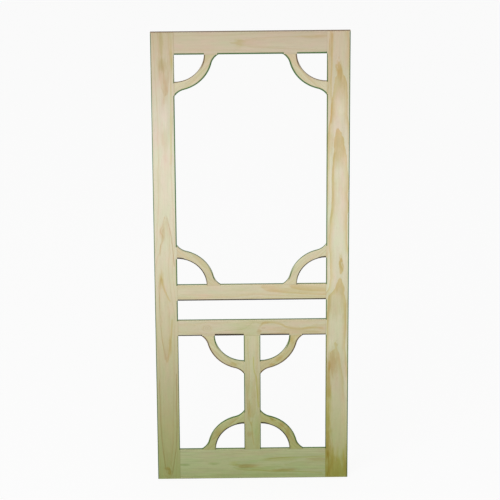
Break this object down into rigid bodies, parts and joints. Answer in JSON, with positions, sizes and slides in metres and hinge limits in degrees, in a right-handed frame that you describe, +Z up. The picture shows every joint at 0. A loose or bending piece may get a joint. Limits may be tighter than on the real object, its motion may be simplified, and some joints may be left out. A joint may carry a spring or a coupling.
{
  "type": "wooden screen door leaf",
  "caption": "Bare pine screen door leaf with an open upper frame, a slot between mid rails, a mullioned lower panel and curved corner brackets.",
  "frame": {"origin": "on the hinge edge (the outer edge of the left stile), at the bottom of the leaf and at mid thickness", "axes": "+X across the leaf from the hinge edge to the latch edge, +Y from the front face to the back face, +Z up"},
  "size_m": [0.8128, 0.019, 2.032],
  "materials": {
    "left_stile": "bare sanded pine",
    "right_stile": "bare sanded pine",
    "top_rail": "bare sanded pine",
    "upper_mid_rail": "bare sanded pine",
    "lower_mid_rail": "bare sanded pine",
    "bottom_rail": "bare sanded pine",
    "centre_mullion": "bare sanded pine",
    "brackets": "bare sanded pine"
  },
  "bodies": {
    "root": {"left_stile": "left_stile", "right_stile": "right_stile", "top_rail": "top_rail", "upper_mid_rail": "upper_mid_rail", "lower_mid_rail": "lower_mid_rail", "bottom_rail": "bottom_rail", "centre_mullion": "centre_mullion", "upper_left_bracket": "brackets", "upper_right_bracket": "brackets", "mid_left_bracket": "brackets", "mid_right_bracket": "brackets", "mullion_top_left_bracket": "brackets", "mullion_top_right_bracket": "brackets", "mullion_foot_left_bracket": "brackets", "mullion_foot_right_bracket": "brackets"}
  },
  "joints": []
}
